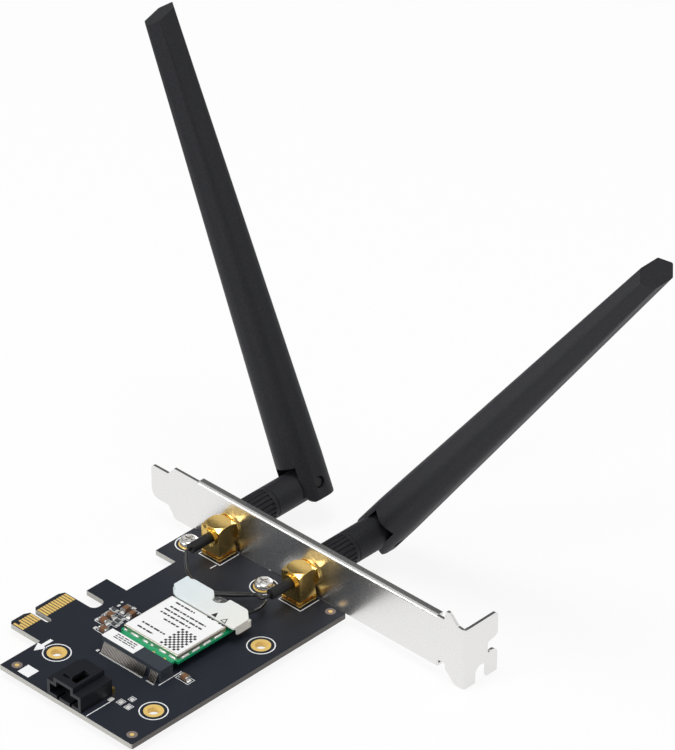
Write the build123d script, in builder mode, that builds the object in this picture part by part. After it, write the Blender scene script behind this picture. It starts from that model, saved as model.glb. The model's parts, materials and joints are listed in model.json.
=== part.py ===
from build123d import *
from math import cos, radians, sin, tan
import os

# A wireless network card for a PCI Express x1 slot: a circuit board with its edge fingers, a slot
# bracket, a small radio module in its socket, two coaxial jacks and two tilting antennas.
# Millimetres. The origin is the middle of the key notch on the finger edge, at the face that
# carries the components. +X runs away from the bracket, +Y from the fingers to the top edge of
# the card, and +Z up from the component face.

# Circuit board
board_thickness = 1.57
board_rear_x = 23.0
board_top_y = 64.0
board_bracket_gap = 0.2
shoulder_y = 12.85
foot_y = 4.95
front_foot_end_x = -43.6
middle_foot_start_x = -24.6
middle_foot_end_x = -16.9
finger_front_x = -12.15
finger_rear_x = 8.15
finger_corner_cut = 1.3
finger_bevel_length = 1.3
finger_bevel_depth = 0.45
key_width = 1.9
key_depth = 8.25
foot_gap_radius = 2.0
board_corner_radius = 0.5

# Edge contacts
contact_pitch = 1.0
contact_width = 0.7
contact_start_y = 1.8
contact_end_y = 5.75
short_contact_start_y = 3.2
first_contact_x = 1.5
front_contact_count = 11
rear_contact_count = 7
copper_height = 0.05

# Plated mounting holes
plated_hole_radius = 1.65
plated_pad_radius = 2.8
plating_wall = 0.03
plated_rear_x = 8.6
plated_front_x = -32.2
plated_low_y = 20.0
plated_high_y = 57.5

# Bracket
bracket_setback = 59.05
bracket_length = 120.02
sheet = 0.86
bend_radius = 1.0
plate_low_z = -1.0
plate_high_z = 16.2
flange_reach = 2.4
flange_start_y = 6.3
flange_end_margin = 10.18
tongue_tip_y = -12.34
tongue_length = 6.74
tongue_low_z = 2.65
tongue_high_z = 13.35
tongue_low_radius = 2.9
tongue_high_radius = 1.1
shoulder_length = 2.5
bump_top_z = 19.2
bump_start_margin = 7.5
bump_end_margin = 2.7
bump_rise = 0.6
bump_flat = 1.3
bump_radius = 0.45
relief_top_z = 1.75
relief_width = 3.2
relief_drop = 1.75
relief_radius = 0.7
skirt_start_margin = 3.3
skirt_radius = 1.2
tab_reach = 13.3
tab_top_z = 15.9
tab_low_z = -4.5
skirt_rise = 0.9
tab_corner_radius = 1.3
tab_notch_top_z = 8.3
tab_notch_low_z = 3.7
tab_notch_depth = 3.85
tab_notch_slope = 0.8
tab_notch_radius = 0.5
tab_finger_rise = 1.2
tab_finger_high_radius = 2.0
tab_finger_low_radius = 1.6
tab_slot_offset = 6.8
tab_slot_width = 4.4
tab_slot_top_z = 1.5
tab_slot_radius = 0.7

# Lugs that the board is screwed to
lug_reach_x = -48.5
lug_width = 8.0
lug_relief = 0.7
lug_low_y = 9.4
lug_high_y = 38.75
lug_screw_x = -52.3
screw_radius = 1.45
screw_clearance = 0.1
screw_head_radius = 2.7
screw_head_height = 1.9
screw_end_below_lug = 1.2
screw_pad_radius = 3.5
recess_width = 0.75
recess_length = 2.9
recess_depth = 0.9

# Coaxial jacks
jack_low_y = 18.8
jack_high_y = 50.0
jack_z = 7.35
jack_clearance = 0.075
jack_block_front = 51.4
jack_block_rear = 58.4
jack_block_half = 3.45
jack_block_low_z = 1.9
jack_block_top_z = 10.8
jack_disc_radius = 3.4
jack_chamfer_angle = 30
jack_flange_radius = 5.5
jack_flange_rounding = 0.28
barrel_radius = 3.175
barrel_length = 11.85
jack_bore_radius = 2.3
jack_bore_depth = 5.9
insulator_length = 2.6
jack_pin_radius = 0.45
jack_pin_reach = 2.0
boss_radius = 2.55
boss_length = 0.7
base_half = 3.55
base_low_z = 0.55
base_plate_height = 0.35
base_plate_gap = 0.25
base_groove_depth = 0.8
base_post_width = 1.2
base_post_inset = 0.3
tail_radius = 0.5
tail_length = 2.5
tail_spacing = 5.6
tail_clearance = 0.1
washer_radius = 4.75
washer_thickness = 0.6
hex_across_flats = 8.0
hex_thickness = 2.2

# Cables from the jacks to the radio module
sleeve_radius = 1.5
sleeve_end_x = -43.6
cable_radius = 0.5

# Radio module, its socket, screw and cover
module_end_x = -34.15
module_shoulder_x = -8.15
module_edge_x = -4.15
module_low_y = 27.8
module_width = 22.0
module_tongue_width = 19.85
module_underside_z = 2.4
module_thickness = 0.8
module_notch_radius = 1.75
shield_start_x = -27.2
shield_end_x = -8.6
shield_margin = 0.5
shield_height = 1.6
shield_wall = 0.25
shield_corner_radius = 0.45
label_margin = 0.35
label_corner_radius = 0.3
label_thickness = 0.06
socket_front_x = -6.0
socket_rear_x = -1.3
socket_overhang = 0.3
socket_height = 4.0
socket_fit = 0.06
socket_slot_end_x = -4.0
pin_pitch = 0.5
pin_width = 0.24
pin_reach = 1.25
pin_foot = 0.35
pin_rise = 2.85
pin_thickness = 0.15
pin_field_margin = 1.05
pin_gap_offset = 6.65
pin_gap_half = 0.9
socket_label_front_x = -5.9
socket_label_rear_x = -1.7
socket_label_overhang = 0.6
socket_label_length = 12.25
standoff_radius = 2.4
module_screw_radius = 1.1
module_head_radius = 2.75
module_head_height = 0.9
module_jack_x = -30.6
module_jack_inset = 4.2
coax_jack_radius = 0.8
coax_jack_height = 0.5
coax_plug_radius = 1.3
coax_plug_top_z = 4.6
crimp_radius = 0.65
crimp_length = 2.4
crimp_seat = 0.3
cable_module_z = 3.95
cover_thickness = 0.8
cover_front_x = -36.2
cover_rear_x = -27.4
cover_low_overhang = 2.6
cover_high_overhang = 2.0
cover_lobe_gap = 6.0
cover_tab_width = 2.1
cover_tab_rear_x = -30.3
cover_corner_cut = 3.0
cover_corner_radius = 0.35
cover_screw_gap = 0.2
cover_wall = 1.0
cover_skirt = 2.3
cover_skirt_front_x = -33.2

# Connector for the lead to the motherboard
header_rear_x = 11.2
header_mouth_x = 22.9
header_low_y = 31.4
header_high_y = 44.4
header_shoulder_z = 5.0
header_top_z = 6.75
header_low_step = 2.55
header_high_step = 2.9
header_wall = 1.05
header_back_wall = 2.6
header_slot_width = 0.9
header_slot_depth = 3.0
header_slot_low_y = 35.6
header_slot_high_y = 40.5
window_front_x = 20.6
window_rear_x = 15.0
window_low_y = 35.0
window_high_y = 40.5
latch_gap = 1.0
header_tab_length = 1.0
header_tab_width = 0.9
header_tab_height = 1.8
header_pin_count = 4
header_pin_pitch = 2.54
header_pin_width = 0.64
header_pin_tip_x = 20.0
header_pin_tail_x = 9.9
header_pin_z = 2.9
header_pin_drop = 2.3
header_hole_radius = 0.55

# Surface-mounted components
capacitor_length = 2.9
capacitor_width = 1.6
capacitor_height = 1.3
terminal_length = 0.55
crosswise_capacitors = ((-10.1, 19.0), (-13.0, 18.6), (-7.2, 22.0))
socket_capacitor_x = -7.2
socket_capacitor_gap = 3.3
lengthwise_capacitors = ((-17.9, 19.6), (-17.4, 22.5))
chip_length = 1.7
chip_width = 0.9
chip_height = 0.5
chip_places = ((-15.9, 17.0), (-14.6, 20.9), (-12.9, 21.6), (-11.2, 21.9))

# Antennas. Lengths along a jack's axis run outwards.
nut_gap = 0.49
nut_radius = 4.9
nut_rim = 1.3
nut_groove_count = 22
nut_groove_radius = 0.42
insert_recess = 0.6
insert_radius = 4.0
insert_bore_radius = 3.275
insert_gap = 0.2
insert_web = 1.8
shank_radius = 2.3
shank_depth = 5.0
shank_clearance = 0.05
shank_bore_radius = 1.2
ferrule_flange_radius = 3.0
ferrule_flange_length = 1.0
spigot_radius = 2.2
spigot_length = 2.4
seat_gap = 0.1
collar_radius = 4.9
collar_length = 9.4
collar_chamfer = 0.4
tongue_reach = 5.9
tongue_half_width = 4.1
fork_clearance = 0.1
fork_depth = 6.6
ear_gap = 0.15
ear_end = 4.7
ear_straight = 3.0
fork_height = 7.2
paddle_base_half_length = 7.85
paddle_base_half_top = 4.4
paddle_base_half_width = 6.25
paddle_base_fillet = 5.0
paddle_tip_half_length = 5.6
paddle_tip_half_top = 3.0
paddle_tip_half_width = 3.2
paddle_tip_fillet = 0.45
paddle_length = 140.6
paddle_end_angle = 15.0
pivot_pin_radius = 1.0
pivot_pin_clearance = 0.06
pivot_head_radius = 1.3
pivot_recess_radius = 1.75
pivot_recess_depth = 1.3
pivot_head_height = 0.6
low_swivel_angle = -23.3
low_tilt_angle = 90.0
high_swivel_angle = 36.2
high_tilt_angle = 84.6

# Levels and places that follow from the sizes above
board_front_x = board_bracket_gap - bracket_setback
board_bottom_z = -board_thickness
plate_inner_x = -bracket_setback
plate_outer_x = plate_inner_x - sheet
tab_face_y = tongue_tip_y + bracket_length
flange_end_y = tab_face_y - flange_end_margin
bump_start_y = tab_face_y - bump_start_margin
bump_end_y = tab_face_y - bump_end_margin
relief_end_y = flange_end_y + relief_width
skirt_start_y = tab_face_y - skirt_start_margin
skirt_low_z = tab_low_z + skirt_rise
tab_outer_x = plate_inner_x - tab_reach
tab_notch_x = tab_outer_x + tab_notch_depth
tab_slot_x = plate_inner_x - tab_slot_offset
lug_top_z = board_bottom_z - copper_height
plated_holes = (
    (plated_rear_x, plated_low_y),
    (plated_rear_x, plated_high_y),
    (plated_front_x, plated_high_y),
)
lug_screws = ((lug_screw_x, lug_low_y), (lug_screw_x, lug_high_y))
jack_rows = (jack_low_y, jack_high_y)
jack_centre_x = -(jack_block_front + jack_block_rear) / 2
base_post_spacing = 2 * (base_half - base_post_inset) - base_post_width
module_top_z = module_underside_z + module_thickness
module_middle_y = module_low_y + module_width / 2
socket_low_y = module_low_y - socket_overhang
socket_width = module_width + 2 * socket_overhang
cover_low_y = module_low_y - cover_low_overhang
cover_high_y = module_low_y + module_width + cover_high_overhang
cover_low_lobe_y = module_middle_y - cover_lobe_gap / 2
cover_high_lobe_y = module_middle_y + cover_lobe_gap / 2
socket_capacitor = (socket_capacitor_x, socket_low_y + socket_width + socket_capacitor_gap)
shield_top_z = module_top_z + shield_height
washer_end = -plate_outer_x + washer_thickness
barrel_end = bracket_setback + barrel_length
jack_bore_end = barrel_end - jack_bore_depth
insulator_end = jack_bore_end + insulator_length
jack_pin_end = insulator_end + jack_pin_reach
nut_start = washer_end + hex_thickness + nut_gap
ferrule_seat = barrel_end + seat_gap
ferrule_flange_end = ferrule_seat + ferrule_flange_length
insert_shoulder = ferrule_flange_end + insert_gap
nut_end = insert_shoulder + insert_web
shank_end = nut_end + shank_depth
collar_start = nut_end + seat_gap
collar_end = collar_start + collar_length
pivot_reach = collar_end + tongue_reach
ear_radius = tongue_reach - ear_gap
front_contacts = [-first_contact_x - contact_pitch * n for n in range(front_contact_count)]
rear_contacts = [first_contact_x + contact_pitch * n for n in range(rear_contact_count)]
header_middle_y = (header_low_y + header_high_y) / 2
header_pin_rows = [
    header_middle_y + header_pin_pitch * (n - (header_pin_count - 1) / 2)
    for n in range(header_pin_count)
]
low_module_jack = (module_jack_x, module_low_y + module_jack_inset)
high_module_jack = (module_jack_x, module_low_y + module_width - module_jack_inset)
jack_tails = [
    (jack_centre_x + side_x * tail_spacing / 2, row + side_y * tail_spacing / 2)
    for row in jack_rows
    for side_x in (-1, 1)
    for side_y in (-1, 1)
]


def jack_plane(row, reach):
    """Plane across a jack's axis, facing outwards, at a distance along the axis."""
    return Plane(origin=(-reach, row, jack_z), x_dir=(0, 1, 0), z_dir=(-1, 0, 0))


def profile_plane(row):
    """Plane along a jack's axis: its x is the distance outwards and its y the height above the axis."""
    return Plane(origin=(0, row, jack_z), x_dir=(-1, 0, 0), z_dir=(0, 1, 0))


def jack_axis(row):
    return Axis((0, row, jack_z), (-1, 0, 0))


def hexagon(half_length, half_top, half_width):
    """Corners of an antenna section: long across its ends, flat on its two broad sides."""
    return [
        (half_length, 0),
        (half_top, half_width),
        (-half_top, half_width),
        (-half_length, 0),
        (-half_top, -half_width),
        (half_top, -half_width),
    ]


def route_radii(points):
    """Bend radii of a cable: as large as the runs on both sides of each corner allow."""
    radii = []
    for before, corner, after in zip(points, points[1:], points[2:]):
        arriving = Vector(*corner) - Vector(*before)
        leaving = Vector(*after) - Vector(*corner)
        turn = arriving.get_angle(leaving)
        radii.append(0.45 * min(arriving.length, leaving.length) / tan(radians(turn / 2)))
    return radii


def save(part, name):
    part.label = name
    export_step(part, f"parts/{name}.step")


os.makedirs("parts", exist_ok=True)

# Circuit board: a field with two feet and the finger block below it
with BuildPart() as circuit_board:
    with BuildSketch() as board_outline:
        with Locations((board_front_x, shoulder_y)):
            Rectangle(board_rear_x - board_front_x, board_top_y - shoulder_y, align=Align.MIN)
        for start_x, end_x, low_y in (
            (board_front_x, front_foot_end_x, foot_y),
            (middle_foot_start_x, middle_foot_end_x, foot_y),
            (finger_front_x, finger_rear_x, 0),
        ):
            with Locations((start_x, low_y)):
                Rectangle(end_x - start_x, shoulder_y - low_y, align=Align.MIN)
        fillet(
            board_outline.vertices().filter_by_position(Axis.X, middle_foot_end_x, finger_front_x)
            .filter_by_position(Axis.Y, shoulder_y - 0.01, shoulder_y + 0.01),
            radius=foot_gap_radius,
        )
        fillet(board_outline.vertices().group_by(Axis.Y)[-1], radius=board_corner_radius)
        with Locations((0, key_depth - key_width / 2)):
            Circle(key_width / 2, mode=Mode.SUBTRACT)
            Rectangle(
                key_width, key_depth, align=(Align.CENTER, Align.MAX), mode=Mode.SUBTRACT
            )
        chamfer(board_outline.vertices().group_by(Axis.Y)[0], length=finger_corner_cut)
    extrude(amount=-board_thickness)
    with BuildSketch(Plane.YZ.offset(finger_front_x)):
        for face_z, inward in ((0, -1), (board_bottom_z, 1)):
            Polygon(
                (0, face_z),
                (finger_bevel_length, face_z),
                (0, face_z + inward * finger_bevel_depth),
                align=None,
            )
    extrude(amount=finger_rear_x - finger_front_x, mode=Mode.SUBTRACT)
    with Locations(*plated_holes):
        Hole(plated_hole_radius + plating_wall)
    with Locations(*lug_screws):
        Hole(screw_radius + screw_clearance + plating_wall)
    with Locations(*jack_tails):
        Hole(tail_radius + tail_clearance)
    with Locations(*[(header_pin_tail_x, row) for row in header_pin_rows]):
        Hole(header_hole_radius)
save(circuit_board.part, "circuit_board")

# Edge contacts on both faces, each face with one short sensing contact
with BuildPart() as edge_contacts:
    for level, rise, short_contact in (
        (0, copper_height, rear_contacts[-2]),
        (board_bottom_z, -copper_height, front_contacts[-1]),
    ):
        with BuildSketch(Plane.XY.offset(level)):
            for place in front_contacts + rear_contacts:
                start_y = short_contact_start_y if place == short_contact else contact_start_y
                with Locations((place, start_y)):
                    Rectangle(
                        contact_width, contact_end_y - start_y, align=(Align.CENTER, Align.MIN)
                    )
        extrude(amount=rise)
save(edge_contacts.part, "edge_contacts")

# Plated holes: a barrel through the board with a ring on each face
for name, places, bore, pad in (
    ("hole_plating", plated_holes, plated_hole_radius, plated_pad_radius),
    ("screw_pads", lug_screws, screw_radius + screw_clearance, screw_pad_radius),
):
    with BuildPart() as plating:
        with BuildSketch(Plane.XY.offset(board_bottom_z)):
            with Locations(*places):
                Circle(bore + plating_wall)
        extrude(amount=board_thickness)
        for level, rise in ((0, copper_height), (board_bottom_z, -copper_height)):
            with BuildSketch(Plane.XY.offset(level)):
                with Locations(*places):
                    Circle(pad)
            extrude(amount=rise)
        with Locations(*places):
            Hole(bore)
    save(plating.part, name)

# Bracket: one sheet folded at the screw tab, along both long edges and at the two board lugs
with BuildPart() as bracket:
    with BuildSketch(Plane.XY.offset(tab_low_z)) as fold:
        with BuildLine():
            Polyline(
                (plate_inner_x, tongue_tip_y),
                (plate_inner_x, tab_face_y),
                (tab_outer_x, tab_face_y),
                (tab_outer_x, tab_face_y - sheet),
                (plate_outer_x, tab_face_y - sheet),
                (plate_outer_x, tongue_tip_y),
                close=True,
            )
        make_face()
        fillet(
            fold.vertices().group_by(Axis.X)[-1].group_by(Axis.Y)[-1], radius=bend_radius
        )
    extrude(amount=bump_top_z - tab_low_z)
    with BuildSketch(Plane.YZ.offset(plate_inner_x)) as plate_outline:
        with BuildLine():
            Polyline(
                (tongue_tip_y, tongue_low_z),
                (tongue_tip_y + tongue_length, tongue_low_z),
                (tongue_tip_y + tongue_length + shoulder_length, plate_low_z),
                (flange_end_y, plate_low_z),
                (flange_end_y, relief_top_z),
                (relief_end_y, relief_top_z),
                (relief_end_y, relief_top_z - relief_drop),
                (skirt_start_y, skirt_low_z),
                (tab_face_y, skirt_low_z),
                (tab_face_y, tab_top_z),
                (bump_end_y, plate_high_z),
                (bump_start_y + bump_rise + bump_flat, bump_top_z),
                (bump_start_y + bump_rise, bump_top_z),
                (bump_start_y, plate_high_z),
                (tongue_tip_y + tongue_length + shoulder_length, plate_high_z),
                (tongue_tip_y + tongue_length, tongue_high_z),
                (tongue_tip_y, tongue_high_z),
                close=True,
            )
        make_face()
        for corner, radius in (
            ((tongue_tip_y, tongue_low_z), tongue_low_radius),
            ((tongue_tip_y, tongue_high_z), tongue_high_radius),
            ((flange_end_y, relief_top_z), relief_radius),
            ((relief_end_y, relief_top_z), relief_radius),
            ((skirt_start_y, skirt_low_z), skirt_radius),
            ((bump_start_y + bump_rise, bump_top_z), bump_radius),
            ((bump_start_y + bump_rise + bump_flat, bump_top_z), bump_radius),
            ((bump_end_y, plate_high_z), bump_radius),
        ):
            fillet(plate_outline.vertices().sort_by_distance(corner)[0], radius=radius)
    extrude(amount=tab_outer_x - plate_inner_x, mode=Mode.INTERSECT)
    with BuildSketch(Plane.XZ.offset(-tab_face_y)) as tab_outline:
        with BuildLine():
            Polyline(
                (plate_inner_x, bump_top_z),
                (plate_inner_x - 2 * bend_radius, bump_top_z),
                (plate_inner_x - 2 * bend_radius, tab_top_z),
                (tab_outer_x, tab_top_z),
                (tab_outer_x, tab_notch_top_z),
                (tab_notch_x, tab_notch_top_z - tab_notch_slope),
                (tab_notch_x, tab_notch_low_z),
                (tab_outer_x, tab_notch_low_z + tab_finger_rise),
                (tab_outer_x, tab_low_z),
                (plate_inner_x - 3 * bend_radius, tab_low_z),
                (plate_inner_x - bend_radius, skirt_low_z),
                (plate_inner_x, tab_low_z),
                close=True,
            )
        make_face()
        with Locations((tab_slot_x, tab_slot_top_z - tab_slot_width / 2)):
            Circle(tab_slot_width / 2, mode=Mode.SUBTRACT)
            Rectangle(
                tab_slot_width,
                tab_slot_top_z - tab_low_z,
                align=(Align.CENTER, Align.MAX),
                mode=Mode.SUBTRACT,
            )
        for corner, radius in (
            ((tab_outer_x, tab_top_z), tab_corner_radius),
            ((tab_outer_x, tab_notch_top_z), tab_corner_radius),
            ((tab_notch_x, tab_notch_top_z - tab_notch_slope), tab_notch_radius),
            ((tab_notch_x, tab_notch_low_z), tab_notch_radius),
            ((tab_outer_x, tab_notch_low_z + tab_finger_rise), tab_finger_high_radius),
            ((tab_outer_x, tab_low_z), tab_finger_low_radius),
            ((tab_slot_x - tab_slot_width / 2, tab_low_z), tab_finger_low_radius),
            ((tab_slot_x + tab_slot_width / 2, tab_low_z), tab_slot_radius),
        ):
            fillet(tab_outline.vertices().sort_by_distance(corner)[0], radius=radius)
    extrude(amount=bracket_length, mode=Mode.INTERSECT)
    with Locations((plate_inner_x, flange_start_y, 0)):
        for edge_z, side in ((plate_low_z, Align.MIN), (plate_high_z, Align.MAX)):
            with Locations((0, 0, edge_z)):
                Box(
                    2 * bend_radius,
                    flange_end_y - flange_start_y,
                    bend_radius,
                    align=(Align.CENTER, Align.MIN, side),
                    mode=Mode.SUBTRACT,
                )
    with BuildSketch(Plane.XZ.offset(-flange_start_y)) as channel:
        with Locations((plate_inner_x, plate_low_z)):
            Rectangle(
                flange_reach, plate_high_z - plate_low_z, align=(Align.MAX, Align.MIN)
            )
        fillet(channel.vertices().group_by(Axis.X)[-1], radius=bend_radius)
        with Locations((plate_outer_x, plate_low_z + sheet)):
            Rectangle(
                flange_reach,
                plate_high_z - plate_low_z - 2 * sheet,
                align=(Align.MAX, Align.MIN),
                mode=Mode.SUBTRACT,
            )
    extrude(amount=flange_start_y - flange_end_y)
    for row in (lug_low_y, lug_high_y):
        with Locations((plate_inner_x, row, plate_low_z)):
            Box(
                2 * flange_reach,
                lug_width + 2 * lug_relief,
                2 * bend_radius,
                align=(Align.CENTER, Align.CENTER, Align.CENTER),
                mode=Mode.SUBTRACT,
            )
        with BuildSketch(Plane.XZ.offset(-row)) as lug:
            with BuildLine():
                Polyline(
                    (plate_outer_x, plate_low_z + bend_radius),
                    (plate_inner_x, plate_low_z + bend_radius),
                    (plate_inner_x, lug_top_z),
                    (lug_reach_x, lug_top_z),
                    (lug_reach_x, lug_top_z - sheet),
                    (plate_outer_x, lug_top_z - sheet),
                    close=True,
                )
            make_face()
            fillet(lug.vertices().group_by(Axis.X)[0].group_by(Axis.Y)[0], radius=bend_radius)
        extrude(amount=lug_width / 2, both=True)
    with BuildSketch(Plane.XY.offset(lug_top_z)):
        with Locations(*lug_screws):
            Circle(screw_radius + screw_clearance)
    extrude(amount=-2 * sheet, mode=Mode.SUBTRACT)
    for row in jack_rows:
        with BuildSketch(jack_plane(row, bracket_setback)):
            Circle(barrel_radius + jack_clearance)
        extrude(amount=sheet, mode=Mode.SUBTRACT)
save(bracket.part, "bracket")

# Screws that hold the board to the lugs, with a rounded head and a cross recess
with BuildPart() as bracket_screws:
    with Locations(*[(*place, copper_height) for place in lug_screws]):
        Cylinder(
            screw_head_radius, screw_head_height, align=(Align.CENTER, Align.CENTER, Align.MIN)
        )
    fillet(
        bracket_screws.edges().group_by(Axis.Z)[-1], radius=min(screw_head_height, screw_head_radius) / 2
    )
    with BuildSketch(Plane.XY.offset(copper_height)):
        with Locations(*lug_screws):
            Circle(screw_radius)
    extrude(amount=-(copper_height + board_thickness + copper_height + sheet + screw_end_below_lug))
    with BuildSketch(Plane.XY.offset(copper_height + screw_head_height)):
        with Locations(*lug_screws):
            Rectangle(recess_length, recess_width)
            Rectangle(recess_width, recess_length)
    extrude(amount=-recess_depth, mode=Mode.SUBTRACT)
save(bracket_screws.part, "bracket_screws")

# Coaxial jacks: a turned barrel and flange behind a cast block that stands on the board
for number, row in enumerate(jack_rows, start=1):
    with BuildPart() as coax_jack:
        with Locations((jack_centre_x, row, jack_block_low_z)):
            Box(
                jack_block_rear - jack_block_front,
                2 * jack_block_half,
                jack_block_top_z - jack_block_low_z,
                align=(Align.CENTER, Align.CENTER, Align.MIN),
            )
            Cone(
                jack_disc_radius + (jack_block_top_z - jack_block_low_z) / tan(radians(jack_chamfer_angle)),
                jack_disc_radius,
                jack_block_top_z - jack_block_low_z,
                align=(Align.CENTER, Align.CENTER, Align.MIN),
                mode=Mode.INTERSECT,
            )
        with BuildSketch(profile_plane(row)) as jack_profile:
            Polygon(
                (jack_block_rear, 0),
                (jack_block_rear, jack_flange_radius),
                (bracket_setback, jack_flange_radius),
                (bracket_setback, barrel_radius),
                (barrel_end, barrel_radius),
                (barrel_end, jack_bore_radius),
                (jack_bore_end, jack_bore_radius),
                (jack_bore_end, 0),
                align=None,
            )
            fillet(jack_profile.vertices().group_by(Axis.Y)[-1], radius=jack_flange_rounding)
        revolve(axis=jack_axis(row))
        with BuildSketch(jack_plane(row, jack_block_front)):
            Circle(boss_radius)
            Circle(sleeve_radius, mode=Mode.SUBTRACT)
        extrude(amount=-boss_length)
        with Locations((jack_centre_x, row, base_low_z)):
            Box(
                2 * (base_half - base_groove_depth),
                2 * (base_half - base_groove_depth),
                jack_block_low_z - base_low_z,
                align=(Align.CENTER, Align.CENTER, Align.MIN),
            )
        for level in (base_low_z, base_low_z + base_plate_height + base_plate_gap):
            with Locations((jack_centre_x, row, level)):
                Box(
                    2 * base_half,
                    2 * base_half,
                    base_plate_height,
                    align=(Align.CENTER, Align.CENTER, Align.MIN),
                )
        with BuildSketch():
            with Locations((jack_centre_x, row)):
                with GridLocations(base_post_spacing, base_post_spacing, 2, 2):
                    Rectangle(base_post_width, base_post_width)
        extrude(amount=jack_block_low_z)
        with BuildSketch():
            with Locations(*[place for place in jack_tails if abs(place[1] - row) < base_half]):
                Circle(tail_radius)
        extrude(amount=-tail_length)
    save(coax_jack.part, f"coax_jack_{number}")

# Inner pieces of the jacks, and the washers and hexagon nuts on the outside of the bracket
with BuildPart() as jack_insulators:
    for row in jack_rows:
        with BuildSketch(jack_plane(row, jack_bore_end)):
            Circle(jack_bore_radius)
            Circle(jack_pin_radius, mode=Mode.SUBTRACT)
        extrude(amount=insulator_end - jack_bore_end)
save(jack_insulators.part, "jack_insulators")

with BuildPart() as jack_pins:
    for row in jack_rows:
        with BuildSketch(jack_plane(row, jack_bore_end)):
            Circle(jack_pin_radius)
        extrude(amount=jack_pin_end - jack_bore_end)
save(jack_pins.part, "jack_pins")

with BuildPart() as jack_washers:
    for row in jack_rows:
        with BuildSketch(jack_plane(row, -plate_outer_x)):
            Circle(washer_radius)
            Circle(barrel_radius + jack_clearance, mode=Mode.SUBTRACT)
        extrude(amount=washer_thickness)
save(jack_washers.part, "jack_washers")

with BuildPart() as jack_nuts:
    for row in jack_rows:
        with BuildSketch(jack_plane(row, washer_end)):
            RegularPolygon(hex_across_flats / 2, 6, major_radius=False)
            Circle(barrel_radius + jack_clearance, mode=Mode.SUBTRACT)
        extrude(amount=hex_thickness)
save(jack_nuts.part, "jack_nuts")

# Cables, each in a shrunk sleeve where it leaves its jack. The first passes under the cover and
# loops back to the far module jack, and the second crosses it on the way to the near one.
low_route = [
    (sleeve_end_x, jack_low_y, jack_z),
    (-42.0, jack_low_y, jack_z),
    (-39.9, 20.7, 5.9),
    (-37.9, 23.3, 4.3),
    (-36.4, 26.8, 3.8),
    (-35.9, 30.8, 3.7),
    (-37.1, 34.6, 3.6),
    (-40.6, 37.9, 3.2),
    (-44.4, 41.1, 2.6),
    (-46.7, 43.2, 2.2),
    (-46.3, 45.7, 2.0),
    (-43.2, 47.2, 2.2),
    (-40.0, 48.1, 2.9),
    (-37.0, 48.0, 3.6),
]
high_route = [
    (sleeve_end_x, jack_high_y, jack_z),
    (-41.9, jack_high_y, jack_z),
    (-41.2, 48.4, 6.4),
    (-42.5, 46.4, 5.6),
    (-42.9, 44.4, 4.9),
    (-41.7, 42.4, 4.3),
    (-39.5, 39.6, 4.0),
    (-37.2, 36.6, 3.95),
    (-34.4, 33.7, 3.95),
]
routes = ((low_route, high_module_jack), (high_route, low_module_jack))

with BuildPart() as heat_shrink_sleeves:
    for row in jack_rows:
        with BuildSketch(jack_plane(row, jack_block_front)):
            Circle(sleeve_radius)
        extrude(amount=-(jack_block_front + sleeve_end_x))
save(heat_shrink_sleeves.part, "heat_shrink_sleeves")

# Snap-on plugs on the module's own small jacks, each with a crimp that takes the cable's end
plug_entries = []
for route, jack in routes:
    jack_point = Vector(*jack, cable_module_z)
    heading = (Vector(*route[-1][:2], cable_module_z) - jack_point).normalized()
    plug_entries.append((jack_point, heading, jack_point + heading * crimp_length))

for number, ((route, jack), (jack_point, heading, entry)) in enumerate(zip(routes, plug_entries), start=1):
    points = route + [tuple(entry)]
    with BuildPart() as pigtail:
        with BuildLine() as cable_path:
            FilletPolyline(*points, radius=route_radii(points))
        with BuildSketch(Plane(origin=points[0], z_dir=cable_path.line % 0)):
            Circle(cable_radius)
        sweep()
    print(f"pigtail_{number} radii", [round(radius, 1) for radius in route_radii(points)])
    save(pigtail.part, f"pigtail_{number}")

with BuildPart() as coax_plugs:
    for jack_point, heading, entry in plug_entries:
        with BuildSketch(Plane.XY.offset(module_top_z + coax_jack_height)):
            with Locations((jack_point.X, jack_point.Y)):
                Circle(coax_plug_radius)
        extrude(amount=coax_plug_top_z - module_top_z - coax_jack_height)
        with BuildSketch(Plane(origin=entry, z_dir=-heading)):
            Circle(crimp_radius)
        extrude(amount=crimp_length - coax_plug_radius + crimp_seat)
save(coax_plugs.part, "coax_plugs")

with BuildPart() as module_jacks:
    with BuildSketch(Plane.XY.offset(module_top_z)):
        with Locations(low_module_jack, high_module_jack):
            Circle(coax_jack_radius)
    extrude(amount=coax_jack_height)
save(module_jacks.part, "module_jacks")

# Radio module: a board with a narrow tongue at the socket and half a screw hole at the other end
with BuildPart() as radio_board:
    with BuildSketch(Plane.XY.offset(module_underside_z)):
        with Locations((module_end_x, module_middle_y)):
            Rectangle(
                module_shoulder_x - module_end_x, module_width, align=(Align.MIN, Align.CENTER)
            )
            Rectangle(
                module_edge_x - module_end_x, module_tongue_width, align=(Align.MIN, Align.CENTER)
            )
            Circle(module_notch_radius, mode=Mode.SUBTRACT)
    extrude(amount=module_thickness)
save(radio_board.part, "radio_board")

with BuildPart() as radio_shield:
    with BuildSketch(Plane.XY.offset(module_top_z)):
        with Locations(((shield_start_x + shield_end_x) / 2, module_middle_y)):
            RectangleRounded(
                shield_end_x - shield_start_x, module_width - 2 * shield_margin, shield_corner_radius
            )
    extrude(amount=shield_height)
    fillet(radio_shield.edges().group_by(Axis.Z)[-1], radius=shield_wall)
    with BuildSketch(Plane.XY.offset(module_top_z)):
        with Locations(((shield_start_x + shield_end_x) / 2, module_middle_y)):
            RectangleRounded(
                shield_end_x - shield_start_x - 2 * shield_wall,
                module_width - 2 * shield_margin - 2 * shield_wall,
                shield_corner_radius - shield_wall,
            )
    extrude(amount=shield_height - shield_wall, mode=Mode.SUBTRACT)
save(radio_shield.part, "radio_shield")

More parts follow.
